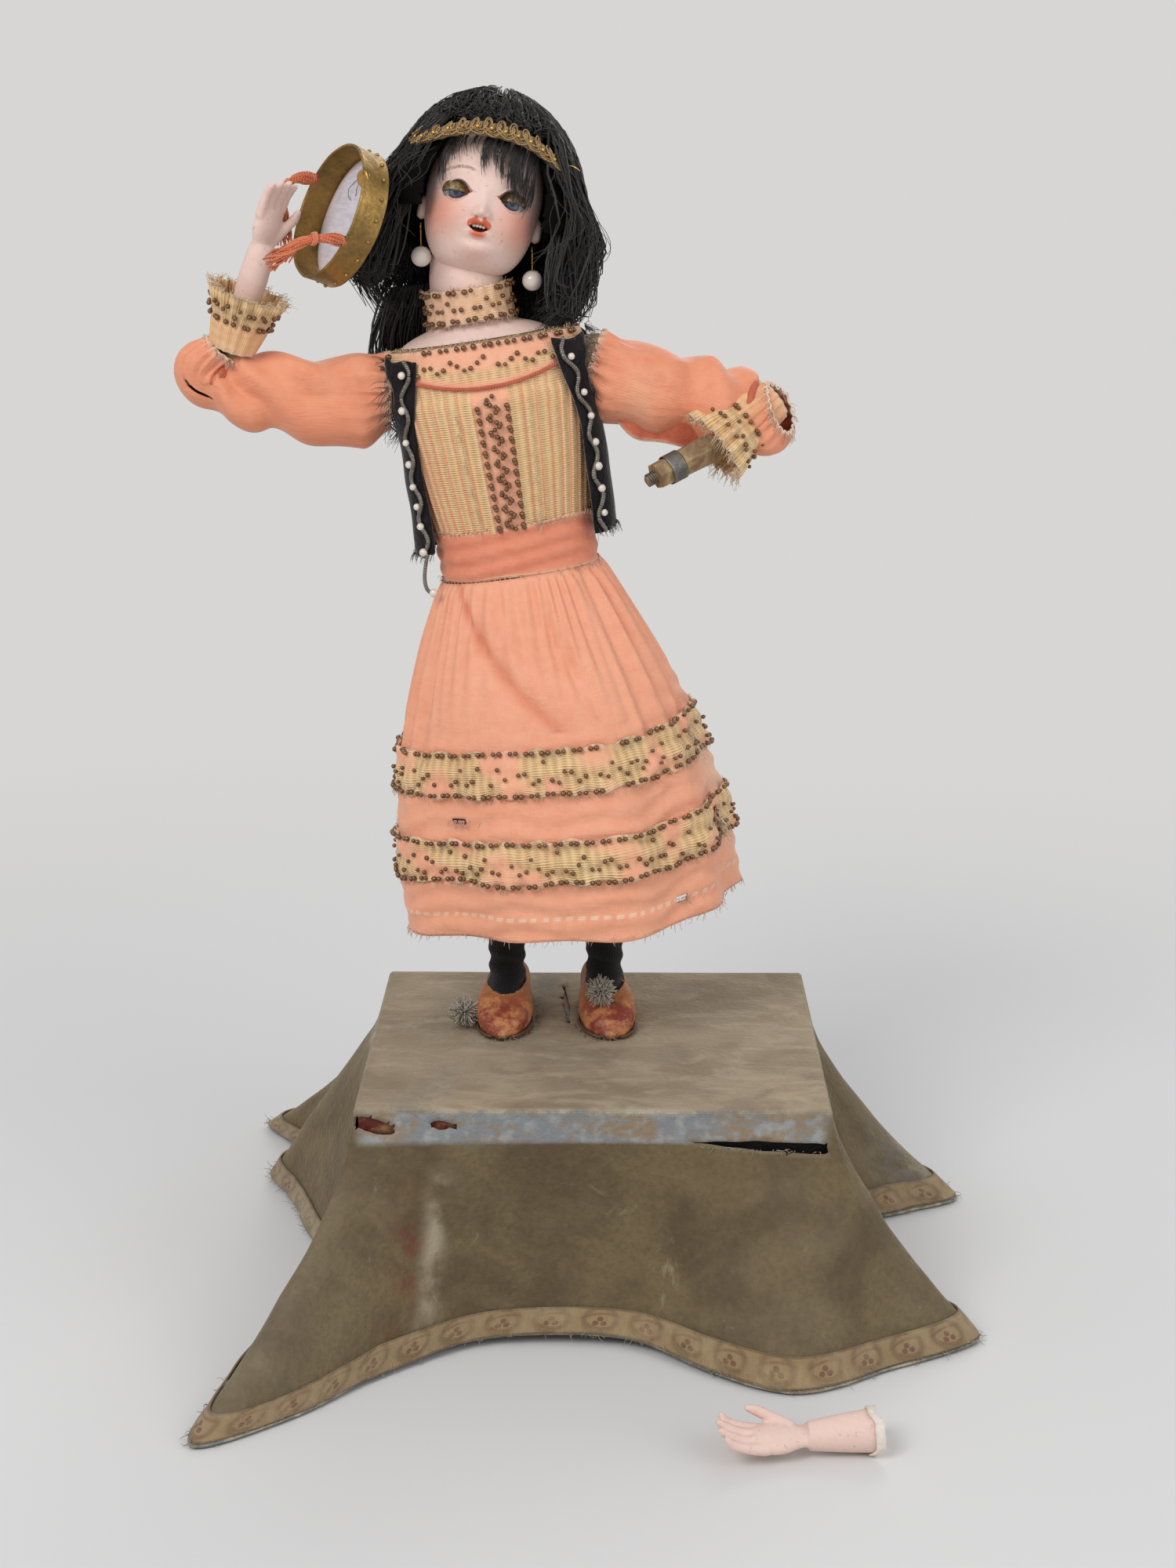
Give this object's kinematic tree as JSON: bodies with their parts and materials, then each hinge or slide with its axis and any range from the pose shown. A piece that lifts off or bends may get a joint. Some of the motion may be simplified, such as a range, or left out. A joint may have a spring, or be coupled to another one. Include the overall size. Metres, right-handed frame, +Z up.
{
  "type": "automaton doll",
  "caption": "Musical automaton doll with tambourine, bisque head and satin dress, standing on a velvet-draped case that holds its clockwork.",
  "frame": {"origin": "centre of the case's underside, on the surface it stands on", "axes": "+Z up through the figure, -Y the front that the figure faces, +X the viewer's right"},
  "size_m": [0.3641, 0.3407, 0.5252],
  "materials": {
    "red_paint": "worn red-brown paint on wood",
    "dark_wood": "dark stained wood",
    "old_wood": "bare aged wood",
    "velvet": "faded brown velvet with a short worn pile",
    "galloon": "woven trim, satin threads",
    "brass": "aged satin brass",
    "steel": "satin steel",
    "iron": "dark cast iron",
    "stocking": "black knitted cloth, matt",
    "shoe_leather": "scuffed orange-brown leather",
    "silk": "grey-white silk yarn",
    "satin": "salmon satin, soft sheen",
    "ribbon": "ochre ribbed ribbon with beads",
    "black_velvet": "black velvet, matt",
    "bisque": "unglazed tinted bisque, soft matt",
    "mohair": "black mohair",
    "parchment": "stretched pale skin, matt",
    "yarn": "orange yarn",
    "eye_glass": "grey-blue glass",
    "pearl": "pearly glass"
  },
  "bodies": {
    "root": {"top_board": "red_paint", "bottom_board": "old_wood", "case_front": "dark_wood", "case_back": "dark_wood", "case_right_side": "dark_wood", "case_left_side": "dark_wood", "velvet_drape": "velvet", "braid_trim": "galloon", "movement_bed": "iron", "right_plate": "brass", "left_plate": "brass", "music_comb": "steel", "right_leg": "stocking", "left_leg": "stocking", "right_shoe": "shoe_leather", "left_shoe": "shoe_leather", "right_pompom": "silk", "left_pompom": "silk", "pelvis_block": "old_wood"},
    "winding": {"winding_arbor": "steel", "winding_key": "iron"},
    "barrel": {"spring_barrel": "brass"},
    "cylinder": {"music_cylinder": "brass"},
    "fly": {"fly_governor": "brass"},
    "sway_lever_body": {"sway_lever": "brass"},
    "arm_lever_body": {"arm_lever": "brass"},
    "sway_rod": {"sway_push_rod": "steel"},
    "arm_rod": {"arm_push_rod": "steel"},
    "torso": {"body_core": "old_wood", "shoulder_plate": "bisque", "bodice": "ribbon", "waist_sash": "satin", "skirt": "satin", "upper_skirt_band": "ribbon", "lower_skirt_band": "ribbon", "vest": "black_velvet", "collar": "ribbon"},
    "neck": {"neck_joint": "old_wood", "hair_fall": "mohair"},
    "head_body": {"head": "bisque", "teeth": "pearl", "wig": "mohair", "headband": "ribbon"},
    "eyes": {"sleep_eyes": "eye_glass"},
    "right_arm": {"right_upper_arm": "old_wood", "right_forearm": "bisque", "right_sleeve": "satin", "right_cuff": "ribbon", "tambourine_rim": "brass", "tambourine_skin": "parchment", "upper_tassel": "yarn", "lower_tassel": "yarn"},
    "jingle": {"jingles": "brass"},
    "left_arm": {"left_upper_arm": "old_wood", "left_forearm_peg": "old_wood", "left_sleeve": "satin", "left_cuff": "ribbon"},
    "right_earring_body": {"right_earring": "pearl"},
    "left_earring_body": {"left_earring": "pearl"},
    "loose_hand": {"loose_left_hand": "bisque"}
  },
  "joints": [
    {"name": "winding_turn", "type": "hinge", "parent": "root", "child": "winding", "pos_m": [-0.064, 0.026, 0.042], "axis": [1, 0, 0], "continuous": true},
    {"name": "barrel_turn", "type": "hinge", "parent": "root", "child": "barrel", "pos_m": [-0.043, 0.026, 0.042], "axis": [1, 0, 0], "continuous": true},
    {"name": "cylinder_turn", "type": "hinge", "parent": "root", "child": "cylinder", "pos_m": [0, -0.0028, 0.042], "axis": [1, 0, 0], "continuous": true},
    {"name": "fly_turn", "type": "hinge", "parent": "root", "child": "fly", "pos_m": [0.048, 0.00885, 0.05589], "axis": [1, 0, 0], "continuous": true},
    {"name": "torso_sway", "type": "hinge", "parent": "root", "child": "torso", "pos_m": [-0.0184, 0.028, 0.218], "axis": [0, 1, 0], "range_deg": [0, 14]},
    {"name": "sway_rod_slide", "type": "slide", "parent": "root", "child": "sway_rod", "axis": [0, 0, 1], "range_m": [0, 0.0058]},
    {"name": "sway_lever_turn", "type": "hinge", "parent": "root", "child": "sway_lever_body", "pos_m": [-0.0413, -0.04, 0.076], "axis": [1, 0, 0], "range_deg": [0, 5]},
    {"name": "right_arm_raise", "type": "hinge", "parent": "torso", "child": "right_arm", "pos_m": [-0.09168, 0.028, 0.39714], "axis": [0, 1, 0], "range_deg": [-15, 0]},
    {"name": "arm_rod_slide", "type": "slide", "parent": "root", "child": "arm_rod", "axis": [0, 0, 1], "range_m": [0, 0.0054]},
    {"name": "arm_lever_turn", "type": "hinge", "parent": "root", "child": "arm_lever_body", "pos_m": [0.0045, -0.04, 0.076], "axis": [1, 0, 0], "range_deg": [0, 5]},
    {"name": "left_arm_raise", "type": "hinge", "parent": "torso", "child": "left_arm", "pos_m": [-0.00069, 0.028, 0.41073], "axis": [0, -1, 0], "range_deg": [-8, 10]},
    {"name": "head_nod", "type": "hinge", "parent": "torso", "child": "neck", "pos_m": [-0.05738, 0.028, 0.45173], "axis": [1, 0, 0], "range_deg": [0, 8]},
    {"name": "head_turn", "type": "hinge", "parent": "neck", "child": "head_body", "pos_m": [-0.04768, 0.026, 0.48157], "axis": [0.1943, 0.225, 0.9548], "range_deg": [-14, 14]},
    {"name": "eyes_blink", "type": "hinge", "parent": "head_body", "child": "eyes", "pos_m": [-0.04694, 0.00836, 0.48075], "axis": [0.9762, 0.051, -0.2106], "range_deg": [-8, 10]},
    {"name": "jingle_swing", "type": "hinge", "parent": "right_arm", "child": "jingle", "pos_m": [-0.09371, -0.01296, 0.49113], "axis": [0.5931, -0.575, 0.5636], "range_deg": [-8, 8]},
    {"name": "right_earring_swing", "type": "hinge", "parent": "head_body", "child": "right_earring_body", "pos_m": [-0.07505, 0.01893, 0.46931], "axis": [0, 1, 0], "range_deg": [-6, 6]},
    {"name": "left_earring_swing", "type": "hinge", "parent": "head_body", "child": "left_earring_body", "pos_m": [-0.02722, 0.02143, 0.45899], "axis": [0, 1, 0], "range_deg": [-6, 6]},
    {"name": "hand_lift", "type": "slide", "parent": "root", "child": "loose_hand", "axis": [0, 0, 1], "range_m": [0, 0.1]}
  ],
  "couplings": [
    {"joint": "cylinder_turn", "follows": "barrel_turn", "ratio": -3},
    {"joint": "fly_turn", "follows": "barrel_turn", "ratio": 12},
    {"joint": "sway_rod_slide", "follows": "torso_sway", "m_per_rad": 0.0229},
    {"joint": "sway_lever_turn", "follows": "torso_sway", "ratio": 0.337},
    {"joint": "arm_rod_slide", "follows": "right_arm_raise", "m_per_rad": -0.02},
    {"joint": "arm_lever_turn", "follows": "right_arm_raise", "ratio": -0.294}
  ]
}
